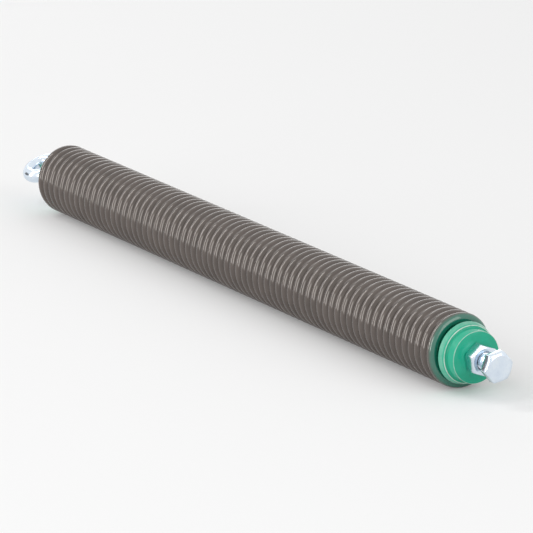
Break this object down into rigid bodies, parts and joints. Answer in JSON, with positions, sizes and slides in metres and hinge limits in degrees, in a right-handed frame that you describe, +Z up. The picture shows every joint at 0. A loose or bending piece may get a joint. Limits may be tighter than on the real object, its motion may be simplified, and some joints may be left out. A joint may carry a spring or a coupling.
{
  "type": "barrier arm spring",
  "caption": "Close-wound round-wire extension spring that balances a barrier arm, with a plug and lock nut at each end, a hex bolt at the front and an eye bolt at the rear.",
  "frame": {"origin": "on the spring's axis, in the middle of the rear eye's hole, where the rear anchor's pin goes through", "axes": "+X along the spring from its rear end to its front end, +Z up, as the spring lies in the picture"},
  "size_m": [0.6272, 0.05, 0.05],
  "materials": {
    "spring_wire": "dark lacquered spring steel, glossy",
    "green_paint": "gloss green paint",
    "zinc_plate": "bright blue-white zinc plate"
  },
  "bodies": {
    "rear_end": {"coil_spring": "spring_wire", "rear_plug": "green_paint", "rear_lock_nut": "zinc_plate", "rear_bolt": "zinc_plate"},
    "front_end": {"front_plug": "green_paint", "front_lock_nut": "zinc_plate", "front_bolt": "zinc_plate"}
  },
  "joints": [
    {"name": "extension", "type": "slide", "parent": "rear_end", "child": "front_end", "axis": [1, 0, 0], "range_m": [0, 0.2], "stiffness_N_per_m": 5840, "deforming": ["coil_spring"]}
  ]
}
